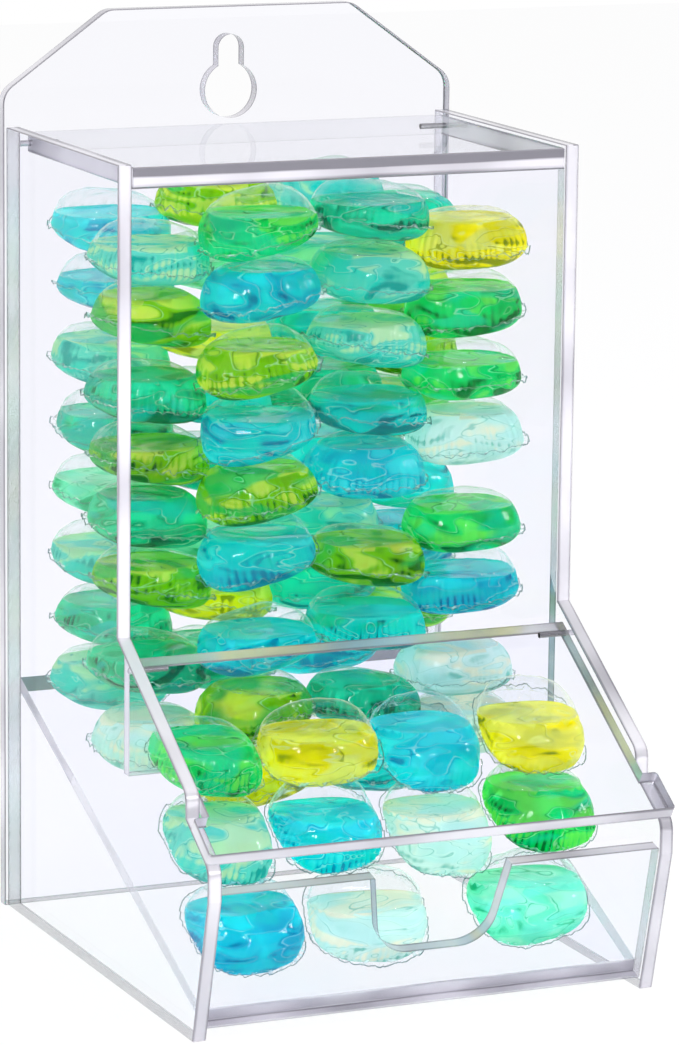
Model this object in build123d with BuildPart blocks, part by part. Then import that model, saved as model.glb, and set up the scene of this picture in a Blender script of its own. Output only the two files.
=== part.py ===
import math
import os

from build123d import *

# Sheet stock and overall sizes of the clear housing
sheet = 5.0
outer_width = 170.0
back_height = 322.0
back_overhang = 1.0
back_flat = 94.0
back_chamfer_drop = 28.0
back_corner_radius = 8.0
edge_break = 0.35

# Keyhole in the back panel, for a screw head and its shank
keyhole_radius = 10.0
keyhole_drop = 30.0
keyhole_slot_width = 9.8
keyhole_slot_rise = 15.0

# Side panels: upright hopper part, slanted edge, lid ledge, nose and foot
side_height = 282.0
hopper_depth = 108.0
knee_height = 121.7
slope = 32.0
slanted_run = 62.5
ledge_depth = 7.0
ledge_run = 19.5
nose_height = 11.5
foot_depth = 177.1
shoulder_radius = 6.0
nose_radius = 7.0

# Panels held between the sides
hopper_front_recess = 1.0
hopper_front_bottom = 73.0
ramp_slope = 23.2
ramp_back_top = 84.0
tray_recess = 1.2
tray_bottom = 4.0
tray_top = 52.7

# Finger cut-out in the tray's front panel
cutout_top_width = 50.0
cutout_bottom_width = 40.0
cutout_depth = 29.5
cutout_bottom_radius = 13.0
cutout_lip_radius = 3.0

# Lids and their hinge pins
side_play = 0.4
top_lid_thickness = 7.0
top_lid_recess = 1.0
top_lid_rear_gap = 7.0
front_lid_sink = 2.0
front_lid_start = 8.0
front_lid_end = 99.8
ear_start = 82.4
ear_radius = 1.5
pin_radius = 1.0
pin_set_back = 3.5
pin_in_lid = 10.0
pin_in_side = 3.6
pin_end_gap = 0.3
pin_running_gap = 0.05

# Pods: a flat seam with a high dome above it and a shallower belly below
pod_length = 43.0
pod_width = 38.0
pod_dome = 11.7
pod_belly = 8.4
pod_gap = 0.4
seam_margin = 0.5
map_step = 1.5
lid_headroom = 1.0

# Values worked out from the ones above
keyhole_height = back_height - keyhole_drop
half_width = outer_width / 2
inner_half = half_width - sheet
slope_sin = math.sin(math.radians(slope))
slope_cos = math.cos(math.radians(slope))
ledge_drop = ledge_depth / slope_cos
shoulder_reach = hopper_depth + slanted_run
shoulder_height = knee_height - slanted_run * slope_sin / slope_cos
ledge_height = shoulder_height - ledge_drop
nose_reach = shoulder_reach + ledge_run
nose_top = ledge_height - ledge_run * slope_sin / slope_cos
nose_bottom = nose_top - nose_height
front_reach = hopper_depth + front_lid_end * slope_cos - front_lid_sink * slope_sin
total_depth = front_reach + sheet
back_face = total_depth / 2 - sheet
front_face = back_face - hopper_depth + hopper_front_recess
lid_underside = side_height - top_lid_recess - top_lid_thickness
ramp_fall = math.tan(math.radians(ramp_slope))
ramp_drop = sheet / math.cos(math.radians(ramp_slope))


def at(depth, height):
    """A point of a side view: depth in front of the back panel, height above the floor."""
    return (back_face - depth, height)


# Back panel with chamfered top corners and the keyhole
with BuildPart() as back_panel:
    with BuildSketch(Plane.XZ.offset(-back_face)) as back_outline:
        half_back = half_width + back_overhang
        with BuildLine():
            Polyline(
                (-half_back, 0),
                (half_back, 0),
                (half_back, back_height - back_chamfer_drop),
                (back_flat / 2, back_height),
                (-back_flat / 2, back_height),
                (-half_back, back_height - back_chamfer_drop),
                close=True,
            )
        make_face()
        top_corners = back_outline.vertices().filter_by_position(Axis.Y, keyhole_height, back_height)
        fillet(top_corners, radius=back_corner_radius)
    extrude(amount=-sheet)
    back_rims = back_panel.faces().filter_by(Axis.Y).edges()
    chamfer(back_rims, length=edge_break)
    with BuildSketch(Plane.XZ.offset(-back_face)):
        with Locations((0, keyhole_height)):
            Circle(keyhole_radius)
        with Locations((0, keyhole_height + keyhole_slot_rise / 2)):
            Rectangle(keyhole_slot_width, keyhole_slot_rise)
        with Locations((0, keyhole_height + keyhole_slot_rise)):
            Circle(keyhole_slot_width / 2)
    extrude(amount=-sheet, mode=Mode.SUBTRACT)

# Hinge lines of the two lids, as depth and height
top_hinge = (top_lid_rear_gap + pin_set_back, lid_underside + top_lid_thickness / 2)
front_lid_middle = front_lid_sink + sheet / 2
front_hinge_along = front_lid_start + pin_set_back
front_hinge = (
    hopper_depth + front_hinge_along * slope_cos - front_lid_middle * slope_sin,
    knee_height - front_hinge_along * slope_sin - front_lid_middle * slope_cos,
)

# Left side panel with blind holes for the hinge pins; the right one mirrors it
with BuildPart() as side_panel_left:
    with BuildSketch(Plane.YZ.offset(-half_width)) as side_outline:
        with BuildLine():
            Polyline(
                at(0, 0),
                at(0, side_height),
                at(hopper_depth, side_height),
                at(hopper_depth, knee_height),
                at(shoulder_reach, shoulder_height),
                at(shoulder_reach, ledge_height),
                at(nose_reach, nose_top),
                at(nose_reach, nose_bottom),
                at(foot_depth, 0),
                close=True,
            )
        make_face()
        shoulder = side_outline.vertices().sort_by_distance(at(shoulder_reach, shoulder_height))[0]
        fillet(shoulder, radius=shoulder_radius)
        nose = side_outline.vertices().sort_by_distance(at(nose_reach, nose_top))[0]
        fillet(nose, radius=nose_radius)
    extrude(amount=sheet)
    chamfer(side_panel_left.faces().filter_by(Axis.X).edges(), length=edge_break)
    with BuildSketch(Plane.YZ.offset(-inner_half)):
        with Locations(at(*top_hinge), at(*front_hinge)):
            Circle(pin_radius + pin_running_gap)
    extrude(amount=-pin_in_side, mode=Mode.SUBTRACT)

with BuildPart() as side_panel_right:
    mirror(side_panel_left.part, about=Plane.YZ)

# Front wall of the hopper, which the top lid rests on
with BuildPart() as hopper_front_panel:
    with BuildSketch(Plane.XZ.offset(-front_face)):
        with Locations((0, (lid_underside + hopper_front_bottom) / 2)):
            Rectangle(2 * inner_half, lid_underside - hopper_front_bottom)
    extrude(amount=-sheet)
    chamfer(hopper_front_panel.faces().filter_by(Axis.Y).edges().filter_by(Axis.X), length=edge_break)

# Tray front, parallel to the sides' raked foot, with the finger cut-out
rake = math.atan2(nose_reach - foot_depth, nose_bottom)
rake_tan = math.tan(rake)
tray_outer_foot = foot_depth - tray_recess / math.cos(rake)
tray_inner_foot = tray_outer_foot - sheet / math.cos(rake)
tray_rise = (tray_top - tray_bottom) / math.cos(rake)
tray_plane = Plane(
    origin=(0, *at(tray_outer_foot + tray_bottom * rake_tan, tray_bottom)),
    x_dir=(1, 0, 0),
    z_dir=(0, -math.cos(rake), -math.sin(rake)),
)
with BuildPart() as tray_front_panel:
    with BuildSketch(tray_plane) as tray_outline:
        with Locations((0, tray_rise / 2)):
            Rectangle(2 * inner_half, tray_rise)
        with BuildLine():
            Polyline(
                (-cutout_top_width / 2, tray_rise),
                (-cutout_bottom_width / 2, tray_rise - cutout_depth),
                (cutout_bottom_width / 2, tray_rise - cutout_depth),
                (cutout_top_width / 2, tray_rise),
                close=True,
            )
        make_face(mode=Mode.SUBTRACT)
        cutout_corners = tray_outline.vertices().filter_by_position(
            Axis.X, -cutout_top_width / 2, cutout_top_width / 2
        )
        fillet(cutout_corners.group_by(Axis.Y)[0], radius=cutout_bottom_radius)
        fillet(cutout_corners.group_by(Axis.Y)[-1], radius=cutout_lip_radius)
    extrude(amount=-sheet)

# Ramp from the back panel down to the foot of the tray front, cut to meet both
ramp_front_top = (ramp_back_top - tray_inner_foot * ramp_fall) / (1 + rake_tan * ramp_fall)
ramp_front_low = (ramp_back_top - ramp_drop - tray_inner_foot * ramp_fall) / (1 + rake_tan * ramp_fall)
with BuildPart() as ramp_panel:
    with BuildSketch(Plane.YZ.offset(-inner_half)):
        with BuildLine():
            Polyline(
                at(0, ramp_back_top),
                at(tray_inner_foot + ramp_front_top * rake_tan, ramp_front_top),
                at(tray_inner_foot + ramp_front_low * rake_tan, ramp_front_low),
                at(0, ramp_back_top - ramp_drop),
                close=True,
            )
        make_face()
    extrude(amount=2 * inner_half)

# Top lid, a thicker plate between the side panels, drilled for its pins
lid_half = inner_half - side_play
top_lid_length = hopper_depth - top_lid_rear_gap
with BuildPart() as top_lid:
    with BuildSketch(Plane.XY.offset(lid_underside)):
        with Locations((0, back_face - top_lid_rear_gap - top_lid_length / 2)):
            Rectangle(2 * lid_half, top_lid_length)
    extrude(amount=top_lid_thickness)
    chamfer(top_lid.edges(), length=edge_break)
    for side in (-1, 1):
        with BuildSketch(Plane.YZ.offset(side * lid_half)):
            with Locations(at(*top_hinge)):
                Circle(pin_radius)
        extrude(amount=-side * pin_in_lid, mode=Mode.SUBTRACT)

# Front lid on the slanted edges, with ears that rest on the side panels' ledges
lid_plane = Plane(
    origin=(
        0,
        *at(
            hopper_depth - (front_lid_sink + sheet) * slope_sin,
            knee_height - (front_lid_sink + sheet) * slope_cos,
        ),
    ),
    x_dir=(1, 0, 0),
    z_dir=(0, -slope_sin, slope_cos),
)
with BuildPart() as front_lid:
    with BuildSketch(lid_plane) as front_lid_outline:
        with BuildLine():
            Polyline(
                (-lid_half, -front_lid_start),
                (-lid_half, -ear_start),
                (-half_width, -ear_start),
                (-half_width, -front_lid_end),
                (half_width, -front_lid_end),
                (half_width, -ear_start),
                (lid_half, -ear_start),
                (lid_half, -front_lid_start),
                close=True,
            )
        make_face()
        ear_corners = front_lid_outline.vertices().filter_by(lambda v: abs(v.X) > inner_half)
        fillet(ear_corners, radius=ear_radius)
    extrude(amount=sheet)
    broad_faces = front_lid.faces().sort_by(SortBy.AREA)[-2:]
    chamfer(broad_faces.edges(), length=edge_break)
    for side in (-1, 1):
        with BuildSketch(Plane.YZ.offset(side * lid_half)):
            with Locations(at(*front_hinge)):
                Circle(pin_radius)
        extrude(amount=-side * pin_in_lid, mode=Mode.SUBTRACT)

# Steel hinge pins: pressed into the lids, turning in the side panels
pin_start = inner_half + pin_in_side - pin_end_gap
pin_length = pin_start - lid_half + pin_in_lid


def hinge_pin(hinge):
    """The left pin of a lid, from its blind hole in the side panel into the lid's edge."""
    with BuildPart() as pin:
        with BuildSketch(Plane.YZ.offset(-pin_start)):
            with Locations(at(*hinge)):
                Circle(pin_radius)
        extrude(amount=pin_length)
    return pin.part


with BuildPart() as top_lid_pin_left:
    add(hinge_pin(top_hinge))
with BuildPart() as top_lid_pin_right:
    mirror(top_lid_pin_left.part, about=Plane.YZ)
with BuildPart() as front_lid_pin_left:
    add(hinge_pin(front_hinge))
with BuildPart() as front_lid_pin_right:
    mirror(front_lid_pin_left.part, about=Plane.YZ)

# One pod: rings of a rounded oblong, as shares of the seam's size and of the dome or belly
seam_corners = 12
seam_squareness = 2.8
dome_ring_shares = ((0.58, 0.82), (1.0, 0.4))
belly_ring_shares = ((1.0, 0.42), (0.62, 0.8), (0.0, 1.0))


def pod_ring(height, share):
    """The corners of one ring of the pod, a superellipse scaled by a share."""
    corners = []
    for corner in range(seam_corners):
        turn = 2 * math.pi * (corner + 1 / 2) / seam_corners
        reach = abs(math.cos(turn)) ** seam_squareness + abs(math.sin(turn)) ** seam_squareness
        scale = share / 2 / reach ** (1 / seam_squareness)
        corners.append((pod_length * scale * math.cos(turn), pod_width * scale * math.sin(turn), height))
    return corners


pod_rings = [pod_ring(-pod_belly * rise_share, size_share) for rise_share, size_share in belly_ring_shares]
pod_rings += [pod_ring(pod_dome * rise_share, size_share) for rise_share, size_share in dome_ring_shares]
pod_skin = [Face(Wire.make_polygon(pod_rings[0])), Face(Wire.make_polygon(pod_rings[-1]))]
for lower, upper in zip(pod_rings, pod_rings[1:]):
    for corner in range(seam_corners):
        panel = (lower[corner - 1], lower[corner], upper[corner], upper[corner - 1])
        pod_skin.append(Face(Wire.make_polygon(panel)))
with BuildPart() as pod:
    add(Solid(Shell(pod_skin)))

# Pods in the tray, lowest first. Each line is a colour, then how far across from the middle
# to a side and how far from the back to the front as shares of the free room, then the yaw
# and how far the front and the right side lean down in degrees.
tray_shares = (
    ("blue", -0.97, 0.97, 10, 38, 8),
    ("pearl", -0.2, 0.98, -10, 42, -4),
    ("mint", 0.84, 0.98, 8, 36, -4),
    ("aqua", -1.0, 0.5, 84, 26, 6),
    ("cyan", -0.33, 0.42, 92, 30, -4),
    ("pearl", 0.36, 0.42, 88, 34, 6),
    ("green", 1.0, 0.4, 92, 26, 0),
    ("yellow", 1.0, 0.12, 84, 32, 0),
    ("cyan", 0.34, 0.12, 96, 34, 4),
    ("yellow", -0.34, 0.14, -4, 24, -6),
    ("green", -1.0, 0.0, 88, 12, 8),
)

# Columns of the hopper's heap: across and front shares, yaw, front and right lean, then
# the colours from the ramp upwards. Four stand behind the hopper's front and four at the back.
front_column_shares = (
    ("mid_left", -0.4, 0.97, -5, 4, -14, "yellow lime cyan cyan lime cyan lime blue green"),
    ("left", -0.97, 0.66, 6, 3, 7, "pearl teal lime teal lime teal lime aqua"),
    ("mid_right", 0.34, 0.95, 7, 2, 6, "azure teal azure lime cyan azure aqua aqua teal"),
    ("right", 0.98, 0.95, -6, 4, -5, "pearl pearl blue green pearl green green yellow"),
)
rear_column_shares = (
    ("rear_left", -0.95, 0.05, 8, 6, 6, "pearl blue teal pearl teal pearl teal blue"),
    ("rear_mid_left", -0.38, 0.3, 12, -4, 8, "cyan lime aqua teal cyan lime pearl yellow"),
    ("rear_mid_right", 0.36, 0.27, -9, 3, -8, "teal aqua pearl cyan teal pearl cyan aqua"),
    ("rear_right", 0.97, 0.1, 5, 5, 6, "lime cyan pearl lime yellow yellow blue"),
)
wobble_shares = (0.0, 0.7, -0.5, 0.4, -0.9, 0.2, 1.0, -0.3, 0.5)
lean_wobble = 5.0
yaw_wobble = 12.0
across_wobble_share = 0.05

surface = {}
heap = {}


def ramp_top(y):
    """Height of the ramp's upper face under one line across the dispenser."""
    return ramp_back_top - (back_face - y) * ramp_fall


pod_faces = [(face.normal_at(), face.center()) for face in pod.faces()]


def sloped_faces(turn):
    """The faces of a turned pod, each as z = a x + b y + c: those looking down, then up."""
    axes = Plane(Location((0, 0, 0), turn))
    looking = ([], [])
    for face_normal, face_centre in pod_faces:
        normal = axes.from_local_coords(face_normal)
        if normal.Z:
            height = normal.dot(axes.from_local_coords(face_centre)) / normal.Z
            looking[normal.Z > 0].append((-normal.X / normal.Z, -normal.Y / normal.Z, height))
    return looking


def settle(turn, reach, x, y):
    """Lower a pod over x, y until a gap above what lies there; gives its height and its top map."""
    low_faces, high_faces = sloped_faces(turn)
    rest = 0
    covered = []
    for i in range(int((x - reach.X) // map_step), int((x + reach.X) // map_step) + 2):
        for j in range(int((y - reach.Y) // map_step), int((y + reach.Y) // map_step) + 2):
            dx = i * map_step - x
            dy = j * map_step - y
            low = max(a * dx + b * dy + c for a, b, c in low_faces)
            high = min(a * dx + b * dy + c for a, b, c in high_faces)
            if high > low - 2 * seam_margin:
                covered.append((i, j, high))
                ground = surface.get((i, j), ramp_top(j * map_step))
                rest = max(rest, ground - low)
    z = rest + pod_gap
    return z, {(i, j): z + high for i, j, high in covered}


def place(name, colour, across, forward, turn, back_limit, front_limit):
    """Put one pod on the heap, at shares of the room between the walls around it."""
    turned = Location((0, 0, 0), turn) * pod.part
    box = turned.bounding_box()
    x = across * (inner_half - pod_gap - max(box.max.X, -box.min.X))
    y_back = back_limit - pod_gap - box.max.Y
    y_front = front_limit + pod_gap - box.min.Y
    y = y_back + forward * (y_front - y_back)
    z, covered = settle(turn, box.size / 2, x, y)
    if z + box.max.Z < lid_underside - lid_headroom:
        surface.update(covered)
        heap[name] = (colour, Location((x, y, z)) * turned)


def place_row(columns, row):
    """One pod on top of each column of the hopper's heap that still takes one."""
    for name, across, forward, yaw, front_lean, right_lean, colours in columns:
        wobble = wobble_shares[(row + len(name)) % len(wobble_shares)]
        if row < len(colours.split()):
            place(
                f"{name}_{row + 1}",
                colours.split()[row],
                across * (1 - across_wobble_share * abs(wobble)),
                forward,
                (front_lean - lean_wobble * wobble, right_lean + lean_wobble * wobble, yaw + yaw_wobble * wobble),
                back_face,
                front_face + sheet,
            )


for row in range(max(len(column[-1].split()) for column in front_column_shares)):
    place_row(front_column_shares, row)
    place_row(rear_column_shares, row)
for number, (colour, across, forward, yaw, front_lean, right_lean) in enumerate(tray_shares, start=1):
    turn = (front_lean, right_lean, yaw)
    place(f"tray_{number}", colour, across, forward, turn, front_face, back_face - tray_inner_foot)

pieces = {
    "back_panel": back_panel.part,
    "side_panel_left": side_panel_left.part,
    "side_panel_right": side_panel_right.part,
    "hopper_front_panel": hopper_front_panel.part,
    "tray_front_panel": tray_front_panel.part,
    "ramp_panel": ramp_panel.part,
    "top_lid": top_lid.part,
    "top_lid_pin_left": top_lid_pin_left.part,
    "top_lid_pin_right": top_lid_pin_right.part,
    "front_lid": front_lid.part,
    "front_lid_pin_left": front_lid_pin_left.part,
    "front_lid_pin_right": front_lid_pin_right.part,
}

# Pods behind the front columns are kept together by shade, the others one by one
rear_shades = {"blue": "blue teal cyan", "pale": "pearl aqua", "yellow": "lime yellow"}
for shade, shade_colours in rear_shades.items():
    hidden = [
        solid
        for name, (colour, solid) in heap.items()
        if name.startswith("rear") and colour in shade_colours
    ]
    pieces[f"pods_rear_{shade}"] = Compound(hidden)
for name, (colour, solid) in heap.items():
    if not name.startswith("rear"):
        pieces[f"pod_{name}_{colour}"] = solid

os.makedirs("parts", exist_ok=True)
for name, piece in pieces.items():
    piece.label = name
    export_step(piece, f"parts/{name}.step")
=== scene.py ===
import math

import bmesh
import bpy
import numpy as np
from mathutils import Matrix, Vector, noise


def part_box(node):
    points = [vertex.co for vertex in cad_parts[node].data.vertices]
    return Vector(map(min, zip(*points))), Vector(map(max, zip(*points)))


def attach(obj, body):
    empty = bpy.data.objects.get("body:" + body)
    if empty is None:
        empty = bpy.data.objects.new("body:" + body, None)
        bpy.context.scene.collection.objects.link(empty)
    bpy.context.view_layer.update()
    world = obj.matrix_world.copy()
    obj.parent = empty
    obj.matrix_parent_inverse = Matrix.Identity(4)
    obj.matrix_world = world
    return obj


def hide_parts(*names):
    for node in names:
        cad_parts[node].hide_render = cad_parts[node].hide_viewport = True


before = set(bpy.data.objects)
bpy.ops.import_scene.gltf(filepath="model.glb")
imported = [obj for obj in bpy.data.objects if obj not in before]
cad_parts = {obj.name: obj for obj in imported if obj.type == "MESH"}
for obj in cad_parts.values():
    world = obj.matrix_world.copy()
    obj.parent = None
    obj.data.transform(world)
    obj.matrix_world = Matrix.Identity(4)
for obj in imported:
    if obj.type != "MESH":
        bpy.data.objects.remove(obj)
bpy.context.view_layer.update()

bl_info = {
    "name": "Laundry Pod Dispenser",
    "version": (1, 0, 0),
    "blender": (4, 5, 0),
    "location": "3D View > Sidebar > Dispenser",
    "description": "Finishes a clear acrylic dispenser and the liquid pods in it",
    "category": "Object",
}

MM = 0.001
BACK_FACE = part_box("back_panel")[0].y
WHITE = (1, 1, 1, 1)


# Colours and nodes
def srgb(code):
    """A hex colour as linear red, green, blue and a full alpha."""
    channels = [int(code[i : i + 2], 16) / 255 for i in (1, 3, 5)]
    return tuple(c / 12.92 if c <= 0.04045 else ((c + 0.055) / 1.055) ** 2.4 for c in channels) + (1.0,)


def add(tree, kind, inputs=None, stops=None, **settings):
    """Add a node: its settings, its inputs as values or other nodes' sockets, and a ramp's stops."""
    node = tree.nodes.new(kind)
    for key, value in settings.items():
        setattr(node, key, value)
    for key, value in (inputs or {}).items():
        if isinstance(value, bpy.types.NodeSocket):
            tree.links.new(value, node.inputs[key])
        else:
            node.inputs[key].default_value = value
    for place, (position, code) in enumerate(stops or ()):
        elements = node.color_ramp.elements
        element = elements[place] if place < 2 else elements.new(position)
        element.position = position
        element.color = srgb(code)
    return node


def new_material(name):
    """An empty material and its node tree."""
    material = bpy.data.materials.new(name)
    material.use_nodes = True
    material.node_tree.nodes.clear()
    return material, material.node_tree


def finish_material(tree, shader, shadow=None):
    """Link the last shader to the output. Shadow is the colour of the light let through, if any."""
    if shadow:
        path = add(tree, "ShaderNodeLightPath")
        passed = add(tree, "ShaderNodeBsdfTransparent", {"Color": srgb(shadow)})
        shader = add(
            tree,
            "ShaderNodeMixShader",
            {0: path.outputs["Is Shadow Ray"], 1: shader, 2: passed.outputs[0]},
        ).outputs[0]
    add(tree, "ShaderNodeOutputMaterial", {"Surface": shader})


# A clear sheet or film mirrors this share of the light that meets it straight on, and the share
# rises with the power of the slant
MIRROR_STRAIGHT_ON = 0.004
MIRROR_POWER = 5.0


def mirrored_share(tree, at_a_slant):
    """How much of its light a clear surface mirrors: little straight on, most along itself."""
    slant = add(tree, "ShaderNodeLayerWeight", {"Blend": 0.5})
    steep = add(tree, "ShaderNodeMath", {0: slant.outputs["Facing"], 1: MIRROR_POWER}, operation="POWER")
    share = add(
        tree,
        "ShaderNodeMapRange",
        {"Value": steep.outputs[0], "To Min": MIRROR_STRAIGHT_ON, "To Max": at_a_slant},
    )
    return share.outputs[0]


# Finishes of the housing: the painted tones of light and shade on a cut edge, dark, middling and light, and
# the painted shade of its broken rims
PAINTED_EDGE_TONES = ("#7C7A82", "#BAB8BF", "#D8D6DC")
# The ramp's edges are painted without the dark tone of shade: their darkest painted tone is light
RAMP_PAINTED_EDGE_TONES = ("#E0E0E4", "#BAB8BF", "#D8D6DC")
PAINTED_RIM_SHADE = "#96949B"
# Length of the soft bands of painted light and shade along a cut edge
PAINTED_EDGE_BAND = 41.67 * MM
# Edges painted with shade over half their width: which end of which axis they lie at, and how dark the
# painted shade is
HALF_SHADED_EDGES = {
    "top_lid": ("Y", min, 0.45),
    "side_panel_left": ("Z", max, 0.4),
    "side_panel_right": ("Z", max, 0.4),
}
# Edges that stand on the floor, or at the wall as the top lid's does, are bright with what they touch:
# the same, and the share of clear sheet in them
TOUCHING_EDGES = {"top_lid": ("Y", max, 0.92)}
USUAL_TOUCHING_EDGE = ("Z", min, 0.45)
# How near to the end of a panel its edge is taken to be
EDGE_DEPTH = 0.3 * MM


def on_edge(tree, where, node, axis, end):
    """1 on the edge that lies at one end of a panel, min or max along an axis, and 0 elsewhere."""
    number = "XYZ".index(axis)
    limit = end(vert.co[number] for vert in node.data.vertices)
    if end is min:
        test, limit = "LESS_THAN", limit + EDGE_DEPTH
    else:
        test, limit = "GREATER_THAN", limit - EDGE_DEPTH
    return add(tree, "ShaderNodeMath", {0: where.outputs[axis], 1: limit}, operation=test).outputs[0]


def cut_edge(tree, place, where, node_name, node, normal):
    """A sawn and flame-polished edge: painted soft bands of light and shade, as light from inside the sheet
    leaves it, under a metallic gloss.
    """
    depths = [vert.co.dot(Vector(normal)) for vert in node.data.vertices]
    middle, half = (max(depths) + min(depths)) / 2, (max(depths) - min(depths)) / 2
    depth = add(
        tree, "ShaderNodeVectorMath", {0: place.outputs["Object"], 1: normal}, operation="DOT_PRODUCT"
    )
    off = add(tree, "ShaderNodeMath", {0: depth.outputs["Value"], 1: middle}, operation="SUBTRACT")
    out = add(tree, "ShaderNodeMath", {0: off.outputs[0]}, operation="ABSOLUTE")
    painted_light_bands = add(
        tree,
        "ShaderNodeTexNoise",
        {"Vector": place.outputs["Object"], "Scale": 1 / PAINTED_EDGE_BAND, "Detail": 1.0},
    )
    level = painted_light_bands.outputs["Fac"]
    # Painted shade over the far half of the width of the edges listed
    if node_name in HALF_SHADED_EDGES:
        axis, end, painted_shade_depth = HALF_SHADED_EDGES[node_name]
        painted_shade_half = add(
            tree,
            "ShaderNodeMapRange",
            {
                "Value": off.outputs[0],
                "From Min": -0.1 * half,
                "From Max": 0.15 * half,
                "To Min": -0.1 * painted_shade_depth,
                "To Max": painted_shade_depth,
            },
        )
        in_painted_shade = on_edge(tree, where, node, axis, end)
        step = add(tree, "ShaderNodeMath", {0: painted_shade_half.outputs[0], 1: in_painted_shade}, operation="MULTIPLY")
        level = add(tree, "ShaderNodeMath", {0: level, 1: step.outputs[0]}, operation="SUBTRACT").outputs[0]
    # The two borders of the sheet are drawn as thin darker lines of painted shade
    border = add(
        tree,
        "ShaderNodeMapRange",
        {"Value": out.outputs[0], "From Min": 0.55 * half, "From Max": 0.95 * half, "To Max": 0.3},
    )
    level = add(tree, "ShaderNodeMath", {0: level, 1: border.outputs[0]}, operation="SUBTRACT")
    dark, middling, light = RAMP_PAINTED_EDGE_TONES if node_name == "ramp_panel" else PAINTED_EDGE_TONES
    shade = add(
        tree,
        "ShaderNodeValToRGB",
        {"Fac": level.outputs[0]},
        stops=((0.18, dark), (0.62, light), (0.4, middling)),
    )
    edge = add(
        tree,
        "ShaderNodeBsdfPrincipled",
        {"Base Color": shade.outputs["Color"], "Roughness": 0.22, "Metallic": 0.45},
    )
    return edge.outputs[0]


def acrylic_sheet(node_name, node, normal, tint):
    """Cast acrylic sheet: clear polished faces, and cut edges painted with the light and shade that they
    carry like a pipe.
    """
    material, tree = new_material(f"Cast acrylic, polished, {node_name}")
    place = add(tree, "ShaderNodeTexCoord")
    where = add(tree, "ShaderNodeSeparateXYZ", {0: place.outputs["Object"]})
    # Faces: tinted a little, with the reflection of a polished sheet
    mirror = mirrored_share(tree, at_a_slant=0.3)
    clear = add(tree, "ShaderNodeBsdfTransparent", {"Color": srgb(tint)})
    gloss = add(tree, "ShaderNodeBsdfGlossy", {"Color": WHITE, "Roughness": 0.02})
    face = add(tree, "ShaderNodeMixShader", {0: mirror, 1: clear.outputs[0], 2: gloss.outputs[0]})
    # Which of the three a place is: a face, a broken rim at a slant to it, or a cut edge
    straight = add(
        tree, "ShaderNodeVectorMath", {0: place.outputs["Normal"], 1: normal}, operation="DOT_PRODUCT"
    )
    straight = add(tree, "ShaderNodeMath", {0: straight.outputs["Value"]}, operation="ABSOLUTE")
    is_face = add(tree, "ShaderNodeMath", {0: straight.outputs[0], 1: 0.98}, operation="GREATER_THAN")
    is_rim = add(tree, "ShaderNodeMath", {0: straight.outputs[0], 1: 0.3}, operation="GREATER_THAN")
    edge = cut_edge(tree, place, where, node_name, node, normal)
    # The broken rim is painted flat grey, as a thin line of shade
    rim = add(
        tree,
        "ShaderNodeBsdfPrincipled",
        {"Base Color": srgb(PAINTED_RIM_SHADE), "Roughness": 0.2, "Metallic": 0.5},
    )
    cut = add(tree, "ShaderNodeMixShader", {0: is_rim.outputs[0], 1: edge, 2: rim.outputs[0]})
    axis, end, clear_share = TOUCHING_EDGES.get(node_name, USUAL_TOUCHING_EDGE)
    touching = on_edge(tree, where, node, axis, end)
    quiet = add(tree, "ShaderNodeMath", {0: touching, 1: clear_share}, operation="MULTIPLY")
    cut = add(tree, "ShaderNodeMixShader", {0: quiet.outputs[0], 1: cut.outputs[0], 2: clear.outputs[0]})
    whole = add(tree, "ShaderNodeMixShader", {0: is_face.outputs[0], 1: cut.outputs[0], 2: face.outputs[0]})
    finish_material(tree, whole.outputs[0], shadow="#F4F4F6")
    return material


def drawn_steel(name):
    """Stainless wire, drawn and cut: bright, with fine marks along it."""
    material, tree = new_material(name)
    mark_length, mark_width = 5.0 * MM, 0.25 * MM
    place = add(tree, "ShaderNodeTexCoord")
    stretch = add(
        tree,
        "ShaderNodeMapping",
        {"Vector": place.outputs["Object"], "Scale": (1 / mark_length, 1 / mark_width, 1 / mark_width)},
    )
    marks = add(tree, "ShaderNodeTexNoise", {"Vector": stretch.outputs[0], "Scale": 1.0, "Detail": 2.0})
    rough = add(tree, "ShaderNodeMapRange", {"Value": marks.outputs["Fac"], "To Min": 0.2, "To Max": 0.42})
    steel = add(
        tree,
        "ShaderNodeBsdfPrincipled",
        {"Base Color": srgb("#C9C7CC"), "Metallic": 1.0, "Roughness": rough.outputs[0]},
    )
    finish_material(tree, steel.outputs[0])
    return material


# Finishes of the pods: how far apart the film's wrinkles are, and how high
WRINKLE = 3.03 * MM
WRINKLE_HEIGHT = 0.4 * MM
# Length and height of the streams of dye, and how deep the light shows them
STREAM_LENGTH = 22.222 * MM
STREAM_HEIGHT = 8.0 * MM
STREAM_DEPTH = 2.0 * MM
# Painted lines where the streams would bend the light, about half a millimetre wide, one a highlight and one
# of shade: the level of the streams that each one follows and how strong it is
PAINTED_HIGHLIGHT_LINE = (0.5, 0.45)
PAINTED_SHADE_LINE = (0.528, 0.7)


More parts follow.
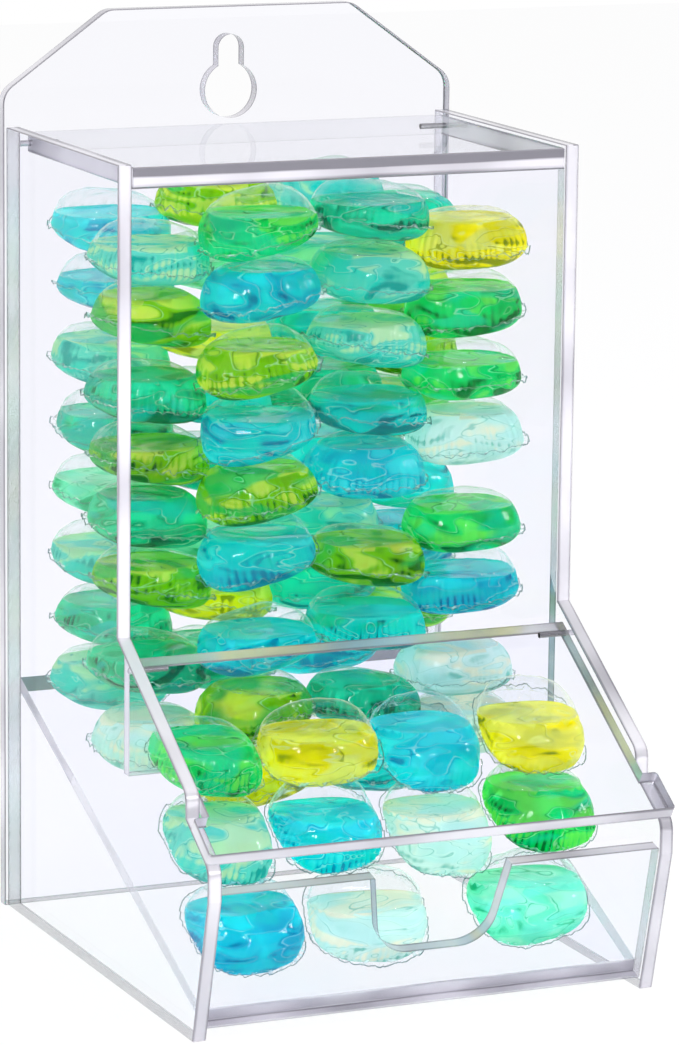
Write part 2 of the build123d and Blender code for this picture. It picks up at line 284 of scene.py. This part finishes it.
def soluble_film(name, crease_highlight, rim=0.0):
    """Water-soluble film, cast thin: clear straight on, with a painted white sheen at a slant and painted
    highlights along its creases, stronger where it is sealed.
    """
    material, tree = new_material(name)
    place = add(tree, "ShaderNodeTexCoord")
    # Wrinkles, drawn out as the film is stretched over the pod
    wrinkles = add(
        tree,
        "ShaderNodeTexNoise",
        {"Vector": place.outputs["Object"], "Scale": 1 / WRINKLE, "Detail": 1.0, "Distortion": 0.8},
    )
    bump = add(
        tree,
        "ShaderNodeBump",
        {"Height": wrinkles.outputs["Fac"], "Strength": 0.35, "Distance": WRINKLE_HEIGHT},
    )
    mirror = mirrored_share(tree, at_a_slant=0.45)
    clear = add(tree, "ShaderNodeBsdfTransparent", {"Color": srgb("#FDFEFE")})
    gloss = add(
        tree,
        "ShaderNodeBsdfGlossy",
        {"Color": WHITE, "Roughness": 0.03, "Normal": bump.outputs["Normal"]},
    )
    film = add(tree, "ShaderNodeMixShader", {0: mirror, 1: clear.outputs[0], 2: gloss.outputs[0]})
    # A painted white sheen at its outline, where it is seen at a slant, and painted highlights along its
    # creases
    slant = add(tree, "ShaderNodeLayerWeight", {"Blend": 0.5})
    outline = add(tree, "ShaderNodeMath", {0: slant.outputs["Facing"], 1: 7.0}, operation="POWER")
    crease = add(
        tree,
        "ShaderNodeMapRange",
        {"Value": wrinkles.outputs["Fac"], "From Min": 0.56, "From Max": 0.72, "To Max": crease_highlight},
    )
    painted_sheen = add(
        tree,
        "ShaderNodeMath",
        {0: outline.outputs[0], 1: 0.5, 2: crease.outputs[0]},
        operation="MULTIPLY_ADD",
    )
    sheen_white = add(tree, "ShaderNodeBsdfTranslucent", {"Color": srgb("#FBFEFE")})
    whole = add(tree, "ShaderNodeMixShader", {0: painted_sheen.outputs[0], 1: film.outputs[0], 2: sheen_white.outputs[0]})
    # The cut rim of the seal is painted grey against the white, as a thin line of shade
    if rim:
        folds = add(tree, "ShaderNodeAttribute", attribute_name="folds")
        parts = add(tree, "ShaderNodeSeparateXYZ", {0: folds.outputs["Vector"]})
        near_rim = add(
            tree,
            "ShaderNodeMapRange",
            {"Value": parts.outputs["Z"], "From Min": 0.8, "From Max": 0.95, "To Max": rim},
        )
        seal_rim_shade = add(tree, "ShaderNodeBsdfTranslucent", {"Color": srgb("#86A0A4")})
        whole = add(
            tree,
            "ShaderNodeMixShader",
            {0: near_rim.outputs[0], 1: whole.outputs[0], 2: seal_rim_shade.outputs[0]},
        )
    finish_material(tree, whole.outputs[0], shadow="#FAFCFC")
    return material


def dye_light_and_shade(tree, swirl, deep_dye_and_shade, dye, light):
    """The colour of one dye, from thick to thin, with painted highlight and shade on the lobes and creases of
    the seam's crimp, and painted light towards the top of the pouch and painted shade towards its belly.
    """
    folds = add(tree, "ShaderNodeAttribute", attribute_name="folds")
    parts = add(tree, "ShaderNodeSeparateXYZ", {0: folds.outputs["Vector"]})
    # Painted highlight on the crimp's lobes and painted shade in its creases
    crimp = add(tree, "ShaderNodeMath", {0: parts.outputs["X"], 1: 0.2}, operation="MULTIPLY")
    lifted = add(tree, "ShaderNodeMath", {0: swirl, 1: crimp.outputs[0]}, operation="ADD")
    # Painted light towards the top of the pouch and painted shade towards its belly
    belt = add(
        tree,
        "ShaderNodeMath",
        {0: parts.outputs["Y"], 1: 0.24, 2: lifted.outputs[0]},
        operation="MULTIPLY_ADD",
    )
    strength = add(
        tree,
        "ShaderNodeValToRGB",
        {"Fac": belt.outputs[0]},
        stops=((0.36, deep_dye_and_shade), (0.72, light), (0.47, dye), (0.58, dye)),
    )
    return strength.outputs["Color"]


def pod_liquid(name, deep_dye_and_shade, dye, light, second, milky):
    """Dyed detergent gel under film: clear enough to bend light, bright where the dye lies thin and where
    light is painted on it.
    """
    material, tree = new_material(name)
    place = add(tree, "ShaderNodeTexCoord")
    scale = (1 / STREAM_LENGTH, 1 / STREAM_LENGTH, 1 / STREAM_HEIGHT)
    streams = add(tree, "ShaderNodeMapping", {"Vector": place.outputs["Object"], "Scale": scale})
    swirl = add(
        tree,
        "ShaderNodeTexNoise",
        {"Vector": streams.outputs[0], "Scale": 1.0, "Detail": 0.5, "Distortion": 1.8},
    )
    tone = dye_light_and_shade(tree, swirl.outputs["Fac"], deep_dye_and_shade, dye, light)
    # A second chamber's dye shows through in patches, a quarter longer than the streams
    patch = add(
        tree,
        "ShaderNodeTexNoise",
        {"Vector": streams.outputs[0], "Scale": 0.8, "Detail": 0.6, "Distortion": 1.0, "W": 7.0},
        noise_dimensions="4D",
    )
    share = add(
        tree,
        "ShaderNodeMapRange",
        {"Value": patch.outputs["Fac"], "From Min": 0.52, "From Max": 0.6, "To Max": 0.85},
    )
    tone = add(
        tree,
        "ShaderNodeMix",
        {"Factor": share.outputs[0], "A": tone, "B": srgb(second)},
        data_type="RGBA",
    ).outputs["Result"]
    # A painted highlight line and a painted line of shade along the streams
    for (line_level, line_share), line_colour in ((PAINTED_HIGHLIGHT_LINE, "#E8FFF8"), (PAINTED_SHADE_LINE, deep_dye_and_shade)):
        off = add(tree, "ShaderNodeMath", {0: swirl.outputs["Fac"], 1: line_level}, operation="SUBTRACT")
        near = add(tree, "ShaderNodeMath", {0: off.outputs[0]}, operation="ABSOLUTE")
        line = add(
            tree,
            "ShaderNodeMapRange",
            {
                "Value": near.outputs[0],
                "From Min": 0.003,
                "From Max": 0.011,
                "To Min": line_share,
                "To Max": 0.0,
            },
        )
        tone = add(
            tree,
            "ShaderNodeMix",
            {"Factor": line.outputs[0], "A": tone, "B": srgb(line_colour)},
            data_type="RGBA",
        ).outputs["Result"]
    bump = add(
        tree,
        "ShaderNodeBump",
        {"Height": swirl.outputs["Fac"], "Strength": 0.45, "Distance": STREAM_DEPTH},
    )
    gel = add(
        tree,
        "ShaderNodeBsdfPrincipled",
        {
            "Base Color": tone,
            "Transmission Weight": 1.0,
            "IOR": 1.3,
            "Specular IOR Level": 0.3,
            "Roughness": 0.02,
            "Normal": bump.outputs["Normal"],
        },
    )
    body = add(tree, "ShaderNodeBsdfDiffuse", {"Color": tone, "Normal": bump.outputs["Normal"]})
    through = add(tree, "ShaderNodeBsdfTranslucent", {"Color": tone})
    cloudy = add(tree, "ShaderNodeMixShader", {0: 0.45, 1: body.outputs[0], 2: through.outputs[0]})
    mixed = add(tree, "ShaderNodeMixShader", {0: milky, 1: gel.outputs[0], 2: cloudy.outputs[0]})
    finish_material(tree, mixed.outputs[0], shadow=light)
    return material


# Settings: each dye's deep tone, where it lies thick and in painted shade, as it mostly shows, and its light
# tone, where it lies thin and under painted light, the dye that shows through in patches, and how cloudy the
# gel is
POD_COLOURS = {
    "blue": ("#0074A8", "#00C8E0", "#10F0F8", "#00E0E0", 0.5),
    "cyan": ("#0088B4", "#00DCE8", "#40F8FC", "#00E8E0", 0.5),
    "azure": ("#007C90", "#00E4E8", "#20F8F4", "#00DCA8", 0.5),
    "teal": ("#006850", "#00C898", "#20F4C4", "#00D0CC", 0.5),
    "green": ("#006C30", "#00DC70", "#80F868", "#00E4B8", 0.5),
    "lime": ("#0C6C00", "#90D400", "#F8FC60", "#00CC70", 0.5),
    "yellow": ("#7C8C00", "#FFF000", "#FFFC60", "#F4F890", 0.5),
    "aqua": ("#18A8A8", "#70DED8", "#E0F4C8", "#20E0D8", 0.65),
    "pearl": ("#84C4BC", "#DCF2F0", "#FFF2DC", "#C8F0F0", 0.7),
    "mint": ("#10B484", "#80F4D0", "#C0FEE8", "#88F8E8", 0.55),
}
REAR_COLOURS = {
    "pods_rear_blue": ("teal", "cyan", "teal", "blue", "aqua", "teal", "cyan"),
    "pods_rear_pale": ("aqua", "azure", "mint"),
    "pods_rear_yellow": ("lime", "yellow", "lime"),
}


class DispenserSettings(bpy.types.PropertyGroup):
    """Sizes and colours that a user would change."""

    pane_tint: bpy.props.StringProperty(
        name="Pane tint",
        description="Tint of one face of a panel",
        default="#FDFDFF",
    )
    lid_tint: bpy.props.StringProperty(
        name="Lid tint",
        description="Tint of one face of the top lid",
        default="#F9F9FB",
    )
    seam_share: bpy.props.FloatProperty(
        name="Seam",
        description="Size of a pod at its seam, as a share of its whole outline",
        default=0.93,
        subtype="FACTOR",
    )
    fill_share: bpy.props.FloatProperty(
        name="Fill",
        description="Height of the liquid in the dome of a pod",
        default=0.62,
        subtype="FACTOR",
    )
    film_thickness: bpy.props.FloatProperty(
        name="Film",
        description="Thickness of the film, drawn thicker than it is to show",
        default=0.15 * MM,
        unit="LENGTH",
    )


# Pods
POD_LENGTH = 43.0 * MM
POD_WIDTH = 38.0 * MM
POD_DOME = 11.7 * MM
POD_BELLY = 8.4 * MM
# The crimp lies a little below the widest ring of the solid, so that the dome stands high over it
SEAM_DROP = 2.0 * MM
# How square the outline is: a power of 2 would be an ellipse
OUTLINE_POWER = 2.7
# How full the dome and the belly are: the two powers of their profiles
DOME_POWERS = (3.8, 0.476)
BELLY_POWERS = (3.2, 0.526)
# Pairs of pleats in the seam of the pod that has fewest, and how strongly a pod is crimped
PLEAT_PAIRS = 23
CRIMPS = (0.2, 0.55, 1.0)
# How much the height of the liquid varies from pod to pod, as a share of the dome
FILL_VARIES = 0.2
# The liquid climbs a little where it wets the film all round
MENISCUS_WIDTH = 0.45 * MM
MENISCUS_HEIGHT = 0.3 * MM
# What the liquid's material reads as height in the pouch on that ring, where it paints a highlight, and on
# the surface inside it, which it paints lighter as a reflection
RING_HIGHLIGHT_LEVEL = 2.4
SURFACE_REFLECTION_LEVEL = 0.9
# Columns and rows of a pouch's mesh, plainer where it is seen only between other pods
FRONT_GRID = (216, 20)
REAR_GRID = (96, 12)
# Points of a CAD solid that lie this near are the same point
SAME_POINT = 0.02 * MM


def pod_places(node):
    """Where each pod of a CAD node lies: a matrix at its seam, with its long side, cross side and dome."""
    shape = bmesh.new()
    shape.from_mesh(node.data)
    bmesh.ops.remove_doubles(shape, verts=shape.verts, dist=SAME_POINT)
    left = set(shape.verts)
    places = []
    while left:
        island, reached = set(), [left.pop()]
        while reached:
            vert = reached.pop()
            island.add(vert)
            for edge in vert.link_edges:
                other = edge.other_vert(vert)
                if other in left:
                    left.discard(other)
                    reached.append(other)
        points = np.array([vert.co for vert in island])
        middle = points.mean(axis=0)
        axes = np.linalg.eigh(np.cov((points - middle).T))[1]
        up, along = axes[:, 0], axes[:, 2]
        heights = (points - middle) @ up
        seam = np.median(heights)
        if heights.max() - seam < seam - heights.min():
            up, seam = -up, -seam
        along = along * (1 if along[0] > 0 else -1)
        across = np.cross(up, along)
        place = Matrix(np.column_stack((along, across, up)).tolist()).to_4x4()
        place.translation = Vector(middle + up * seam)
        places.append(place)
    shape.free()
    return sorted(places, key=lambda place: place.translation.z)


def oblong(turn):
    """The seam's outline, a rounded oblong, at an angle from the pod's long side."""
    along, across = abs(math.cos(turn)) ** OUTLINE_POWER, abs(math.sin(turn)) ** OUTLINE_POWER
    return 1 / (along + across) ** (1 / OUTLINE_POWER)


def wave_of_pleats(turn, pleats, offset):
    """The crimp along the seam: round lobes outwards, sharp creases inwards, no two alike."""
    drift = noise.noise(Vector((math.cos(turn) * 3, math.sin(turn) * 3, 0)) + offset)
    return 2 * abs(math.sin(pleats * turn / 2 + 2.4 * drift)) ** 0.8 - 1


def plain_ball(columns, rows):
    """A unit ball that every pouch is shaped from, with room for the pattern of its folds."""
    ball = bmesh.new()
    bmesh.ops.create_uvsphere(ball, u_segments=columns, v_segments=rows, radius=1)
    ball.verts.layers.float_vector.new("folds")
    return ball


def shape_pouch(shape, seed, seam_share):
    """A pod's filled pouch in its own axes: a high dome, a shallow belly and a pleated seam."""
    # In the attribute folds, x is the wave of the pleats and y the height in the pouch, -1 to 1
    folds = shape.verts.layers.float_vector["folds"]
    pleats = 2 * (PLEAT_PAIRS + seed % 3)
    crimp = CRIMPS[seed * 5 % 7 % 3]
    offset = Vector((seed * 1.7, seed * 0.9, seed * 2.3))
    for vert in shape.verts:
        turn = math.atan2(vert.co.y, vert.co.x)
        level = math.asin(max(-1.0, min(1.0, vert.co.z))) * 2 / math.pi
        share = math.cos(abs(level) ** 1.2 * math.pi / 2)
        round_x, round_y = math.cos(turn), math.sin(turn)
        lump = noise.noise(Vector((round_x * 1.3, round_y * 1.3, level * 1.5)) + offset)
        crease = noise.noise(Vector((round_x * 5, round_y * 5, level * 1.2)) + offset)
        wave = crimp * wave_of_pleats(turn, pleats, offset)
        # Pleats run up the dome to uneven heights, and down the belly to a third of it
        if level > 0:
            reach = max(0.0, 1 - level / (0.4 + 0.35 * crease)) ** 1.2
            rise = (POD_DOME + SEAM_DROP) * (1 - share ** DOME_POWERS[0]) ** DOME_POWERS[1]
        else:
            reach = max(0.0, 1 + level / 0.35)
            rise = (SEAM_DROP - POD_BELLY) * (1 - share ** BELLY_POWERS[0]) ** BELLY_POWERS[1]
        radius = share * oblong(turn) * seam_share * (1 + 0.02 * lump)
        radius += 0.03 * wave * reach + 0.03 * crease * (1 - abs(level)) * (level > 0)
        height = rise * (1 + 0.05 * lump) - SEAM_DROP + (0.5 * wave + 1.2 * crease) * reach * MM
        vert.co = (POD_LENGTH / 2 * radius * round_x, POD_WIDTH / 2 * radius * round_y, height)
        vert[folds] = (wave * reach, level, 0)


def split_by_level(shape, level_point, level_normal):
    """Cut a pouch at the level of its liquid: the liquid with a closed top, and the film above it."""
    above = shape.copy()
    for half, keep_below in ((shape, True), (above, False)):
        cut = bmesh.ops.bisect_plane(
            half,
            geom=half.verts[:] + half.edges[:] + half.faces[:],
            dist=1e-7,
            plane_co=level_point,
            plane_no=level_normal,
            clear_outer=keep_below,
            clear_inner=not keep_below,
        )
        if keep_below:
            rim = [item for item in cut["geom_cut"] if isinstance(item, bmesh.types.BMEdge)]
            top = bmesh.ops.holes_fill(half, edges=rim, sides=0)["faces"]
            folds = half.verts.layers.float_vector["folds"]
            # The ring and the surface of the liquid are marked for a painted highlight and a lighter painted
            # reflection
            for vert in {vert for face in top for vert in face.verts}:
                vert[folds] = (0, RING_HIGHLIGHT_LEVEL, 0)
            bmesh.ops.inset_region(half, faces=top, thickness=MENISCUS_WIDTH, depth=-MENISCUS_HEIGHT)
            for vert in {vert for face in top for vert in face.verts}:
                vert[folds] = (0, SURFACE_REFLECTION_LEVEL, 0)
            for face in half.faces:
                face.smooth = face not in top
    return above


def make_flange(seed, columns, settings):
    """The wavy strip all round the seam where the two films are sealed together."""
    flange = bmesh.new()
    # In the attribute folds, z runs from 0 at the pouch to 1 at the strip's rim
    folds = flange.verts.layers.float_vector.new("folds")
    ring = bmesh.ops.create_circle(flange, segments=columns, radius=1)["verts"]
    edges = flange.edges[:]
    widths = (0.0, 0.4, 0.75, 1.0)
    loops = [ring]
    for _ in widths[1:]:
        out = bmesh.ops.extrude_edge_only(flange, edges=edges)["geom"]
        loops.append([item for item in out if isinstance(item, bmesh.types.BMVert)])
        ends = set(loops[-1])
        edges = [item for item in out if isinstance(item, bmesh.types.BMEdge) and set(item.verts) <= ends]
    offset = Vector((seed * 3.1, seed * 1.3, 0))
    for width, loop in zip(widths, loops):
        for vert in loop:
            turn = math.atan2(vert.co.y, vert.co.x)
            round_x, round_y = math.cos(turn), math.sin(turn)
            wide = 0.08 + 0.06 * noise.noise(Vector((round_x * 2, round_y * 2, 0)) + offset)
            ripple = noise.noise(Vector((round_x * 7, round_y * 7, 3)) + offset)
            fine = noise.noise(Vector((round_x * 22, round_y * 22, 5)) + offset)
            radius = oblong(turn) * (settings.seam_share - 0.02 + width * (0.02 + wide))
            height = width * (2.0 * ripple + 0.9 * fine) * MM - SEAM_DROP
            vert.co = (POD_LENGTH / 2 * radius * round_x, POD_WIDTH / 2 * radius * round_y, height)
            vert[folds] = (0, 0, width)
    bmesh.ops.recalc_face_normals(flange, faces=flange.faces[:])
    bmesh.ops.solidify(flange, geom=flange.faces[:], thickness=settings.film_thickness)
    return flange


def make_pod(place, seed, settings, ball, columns):
    """One pod as a bmesh in the object's frame: slot 0 is its liquid, 1 its film and 2 its seal."""
    pouch = ball.copy()
    shape_pouch(pouch, seed, settings.seam_share)
    upright = place.to_3x3().inverted() @ Vector((0, 0, 1))
    level = Vector((0, 0, POD_DOME * (settings.fill_share + FILL_VARIES * math.sin(seed * 2.1))))
    film = split_by_level(pouch, level, upright)
    bmesh.ops.solidify(film, geom=film.faces[:], thickness=settings.film_thickness)
    for slot, other in enumerate((film, make_flange(seed, columns, settings)), start=1):
        for face in other.faces:
            face.material_index = slot
            face.smooth = True
        scrap = bpy.data.meshes.new("scrap")
        other.to_mesh(scrap)
        other.free()
        pouch.from_mesh(scrap)
        bpy.data.meshes.remove(scrap)
    bmesh.ops.transform(pouch, matrix=place, verts=pouch.verts[:])
    return pouch


def link_mesh(name, shape, materials, body):
    """Turn a bmesh into an object that rides on a body."""
    mesh = bpy.data.meshes.new(name)
    shape.to_mesh(mesh)
    shape.free()
    for material in materials:
        mesh.materials.append(material)
    piece = bpy.data.objects.new(name, mesh)
    bpy.context.scene.collection.objects.link(piece)
    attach(piece, body)
    return piece


class DISPENSER_OT_pods(bpy.types.Operator):
    """Model every pod where its solid lies, with its liquid, film and sealed flange"""

    bl_idname = "dispenser.pods"
    bl_label = "Pods"

    def execute(self, context):
        settings = context.scene.dispenser
        film = soluble_film("Soluble film, cast", 0.03)
        seal = soluble_film("Soluble film, heat-sealed double", 0.7, rim=0.8)
        liquids = {
            colour: pod_liquid(f"Detergent gel, dyed {colour}", *values)
            for colour, values in POD_COLOURS.items()
        }
        balls = {grid: plain_ball(*grid) for grid in (FRONT_GRID, REAR_GRID)}
        seed = 0
        for node_name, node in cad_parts.items():
            if not node_name.startswith("pod"):
                continue
            rear = REAR_COLOURS.get(node_name)
            for number, place in enumerate(pod_places(node)):
                seed += 1
                colour = rear[number % len(rear)] if rear else node_name.rsplit("_", 1)[1]
                grid = REAR_GRID if rear else FRONT_GRID
                shape = make_pod(place, seed, settings, balls[grid], grid[0])
                name = f"pouch_{node_name}_{number}" if rear else f"pouch_{node_name}"
                piece = link_mesh(name, shape, (liquids[colour], film, seal), "housing")
                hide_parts(node_name)
        return {"FINISHED"}


# Housing: the angles of the sloping sheets from the horizontal or upright, and the side each faces
TRAY_LEAN = math.radians(14.27)
RAMP_SLOPE = math.radians(23.2)
FRONT_LID_SLOPE = math.radians(32)
PANE_NORMALS = {
    "back_panel": (0, 1, 0),
    "side_panel_left": (1, 0, 0),
    "side_panel_right": (1, 0, 0),
    "hopper_front_panel": (0, 1, 0),
    "tray_front_panel": (0, math.cos(TRAY_LEAN), math.sin(TRAY_LEAN)),
    "ramp_panel": (0, -math.sin(RAMP_SLOPE), math.cos(RAMP_SLOPE)),
    "top_lid": (0, 0, 1),
    "front_lid": (0, -math.sin(FRONT_LID_SLOPE), math.cos(FRONT_LID_SLOPE)),
}


class DISPENSER_OT_housing(bpy.types.Operator):
    """Give the panels, the lids and the hinge pins their finishes"""

    bl_idname = "dispenser.housing"
    bl_label = "Housing"

    def execute(self, context):
        settings = context.scene.dispenser
        steel = drawn_steel("Stainless steel wire, drawn")
        for node_name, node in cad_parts.items():
            if node_name.startswith("pod"):
                continue
            if "pin" in node_name:
                finish = steel
            else:
                tint = settings.lid_tint if node_name == "top_lid" else settings.pane_tint
                finish = acrylic_sheet(node_name, node, PANE_NORMALS[node_name], tint)
            node.data.materials.clear()
            node.data.materials.append(finish)
        return {"FINISHED"}


# Stage: where the camera stands, how it is turned from straight on, dipped and rolled, and its lens
CAMERA_PLACE = Vector((-682.2 * MM, -1645.2 * MM + BACK_FACE, 497.8 * MM))
CAMERA_TURN = math.radians(23.81)
CAMERA_DIP = math.radians(11.51)
CAMERA_ROLL = math.radians(0.64)
CAMERA_LENS = 172.79
CAMERA_SHIFT = (0.0009, 0.0002)
# Each lamp's place in metres, its width in metres and its power in watts
LAMPS = {
    "window_left": ((-1.2, -1.2, 1.2), 0.35, 20.0),
    "window_front": ((0.3, -2.0, 0.9), 0.3, 18.0),
    "window_right": ((1.5, -0.5, 0.8), 0.35, 14.0),
}
LAMP_AIM = Vector((0, 0, 0.15))
FLOOR_REACH = 3.0


def add_camera(scene):
    """The camera, at the photograph's viewing angle."""
    sin_a, cos_a = math.sin(CAMERA_TURN), math.cos(CAMERA_TURN)
    sin_e, cos_e = math.sin(CAMERA_DIP), math.cos(CAMERA_DIP)
    ahead = Vector((sin_a * cos_e, cos_a * cos_e, -sin_e))
    right = Vector((cos_a, -sin_a, 0))
    up = Vector((sin_a * sin_e, cos_a * sin_e, cos_e))
    right, up = (
        right * math.cos(CAMERA_ROLL) + up * math.sin(CAMERA_ROLL),
        -right * math.sin(CAMERA_ROLL) + up * math.cos(CAMERA_ROLL),
    )
    data = bpy.data.cameras.new("camera")
    data.lens = CAMERA_LENS
    data.sensor_width = 36.0
    data.shift_x, data.shift_y = CAMERA_SHIFT
    data.clip_start = 0.05
    camera = bpy.data.objects.new("camera", data)
    turn = Matrix((right, up, -ahead)).transposed()
    camera.matrix_world = Matrix.Translation(CAMERA_PLACE) @ turn.to_4x4()
    scene.collection.objects.link(camera)
    scene.camera = camera


def add_world(scene):
    """A white backdrop and ceiling, and a dimmer room on the side that the camera stands on."""
    world = bpy.data.worlds.new("studio")
    scene.world = world
    world.use_nodes = True
    tree = world.node_tree
    tree.nodes.clear()
    place = add(tree, "ShaderNodeTexCoord")
    towards = add(
        tree,
        "ShaderNodeVectorMath",
        {0: place.outputs["Generated"], 1: (0.0, 0.7, 0.71)},
        operation="DOT_PRODUCT",
    )
    lift = add(
        tree, "ShaderNodeMapRange", {"Value": towards.outputs["Value"], "From Min": -1.0, "From Max": 1.0}
    )
    room = add(
        tree,
        "ShaderNodeValToRGB",
        {"Fac": lift.outputs[0]},
        stops=((0.0, "#5A5A60"), (1.0, "#FFFFFF"), (0.4, "#77777E"), (0.55, "#C4C4CA"), (0.7, "#FFFFFF")),
    )
    # The camera, rays bent by the gel and reflections of the backdrop all see plain white
    path = add(tree, "ShaderNodeLightPath")
    straight = add(
        tree,
        "ShaderNodeMath",
        {0: path.outputs["Is Camera Ray"], 1: path.outputs["Is Transmission Ray"]},
        operation="MAXIMUM",
    )
    backdrop = add(
        tree, "ShaderNodeMapRange", {"Value": lift.outputs[0], "From Min": 0.5, "From Max": 0.65}
    )
    mirrored = add(
        tree,
        "ShaderNodeMath",
        {0: path.outputs["Is Glossy Ray"], 1: backdrop.outputs[0]},
        operation="MULTIPLY",
    )
    seen = add(tree, "ShaderNodeMath", {0: straight.outputs[0], 1: mirrored.outputs[0]}, operation="MAXIMUM")
    colour = add(
        tree,
        "ShaderNodeMix",
        {"Factor": seen.outputs[0], "A": room.outputs["Color"], "B": WHITE},
        data_type="RGBA",
    )
    light = add(tree, "ShaderNodeBackground", {"Color": colour.outputs["Result"], "Strength": 1.0})
    add(tree, "ShaderNodeOutputWorld", {"Surface": light.outputs[0]})


def add_floor(scene):
    """Seamless paper, matt and white: it takes shadows, and glows so that it meets the backdrop."""
    shape = bmesh.new()
    bmesh.ops.create_grid(shape, x_segments=1, y_segments=1, size=FLOOR_REACH)
    mesh = bpy.data.meshes.new("floor")
    shape.to_mesh(mesh)
    shape.free()
    floor = bpy.data.objects.new("floor", mesh)
    scene.collection.objects.link(floor)
    material, tree = new_material("Seamless paper, white")
    paper = add(tree, "ShaderNodeBsdfDiffuse", {"Color": srgb("#F6F6F8")})
    path = add(tree, "ShaderNodeLightPath")
    glow = add(tree, "ShaderNodeEmission", {"Color": WHITE, "Strength": 1.0})
    seen = add(tree, "ShaderNodeMath", {0: path.outputs["Is Camera Ray"], 1: 0.88}, operation="MULTIPLY")
    both = add(tree, "ShaderNodeMixShader", {0: seen.outputs[0], 1: paper.outputs[0], 2: glow.outputs[0]})
    finish_material(tree, both.outputs[0])
    mesh.materials.append(material)


def add_lamps(scene):
    """Three soft square lamps, as windows of a studio."""
    for name, (spot, size, power) in LAMPS.items():
        data = bpy.data.lights.new(name, "AREA")
        data.size = size
        data.energy = power
        lamp = bpy.data.objects.new(name, data)
        aim = (LAMP_AIM - Vector(spot)).to_track_quat("-Z", "Y")
        lamp.matrix_world = Matrix.Translation(spot) @ aim.to_matrix().to_4x4()
        scene.collection.objects.link(lamp)


class DISPENSER_OT_stage(bpy.types.Operator):
    """Set up the camera, the lamps, the white world and the floor"""

    bl_idname = "dispenser.stage"
    bl_label = "Stage"

    def execute(self, context):
        scene = context.scene
        scene.view_settings.view_transform = "Standard"
        # Enough bounces for light to pass the panels and the pods, and a coarser limit of noise than
        # usual, to keep the time down
        scene.cycles.adaptive_threshold = 0.1
        scene.cycles.use_light_tree = False
        scene.cycles.max_bounces = 10
        scene.cycles.diffuse_bounces = 2
        scene.cycles.glossy_bounces = 2
        scene.cycles.transmission_bounces = 8
        scene.cycles.transparent_max_bounces = 18
        add_camera(scene)
        add_world(scene)
        add_floor(scene)
        add_lamps(scene)
        return {"FINISHED"}


class DISPENSER_PT_panel(bpy.types.Panel):
    """The dispenser's steps in the sidebar"""

    bl_idname = "DISPENSER_PT_panel"
    bl_label = "Laundry Pod Dispenser"
    bl_space_type = "VIEW_3D"
    bl_region_type = "UI"
    bl_category = "Dispenser"

    def draw(self, context):
        for key in ("pane_tint", "lid_tint", "seam_share", "fill_share", "film_thickness"):
            self.layout.prop(context.scene.dispenser, key)
        for step in STEPS:
            self.layout.operator(step.bl_idname)


STEPS = (DISPENSER_OT_stage, DISPENSER_OT_housing, DISPENSER_OT_pods)
CLASSES = (DispenserSettings, *STEPS, DISPENSER_PT_panel)


def register():
    """Register the classes and attach the settings to the scene."""
    for item in CLASSES:
        bpy.utils.register_class(item)
    bpy.types.Scene.dispenser = bpy.props.PointerProperty(type=DispenserSettings)


def unregister():
    """Undo register."""
    del bpy.types.Scene.dispenser
    for item in reversed(CLASSES):
        bpy.utils.unregister_class(item)


def main():
    """Run every step in order."""
    register()
    bpy.ops.dispenser.stage()
    bpy.ops.dispenser.housing()
    bpy.ops.dispenser.pods()


if __name__ == "__main__":
    main()
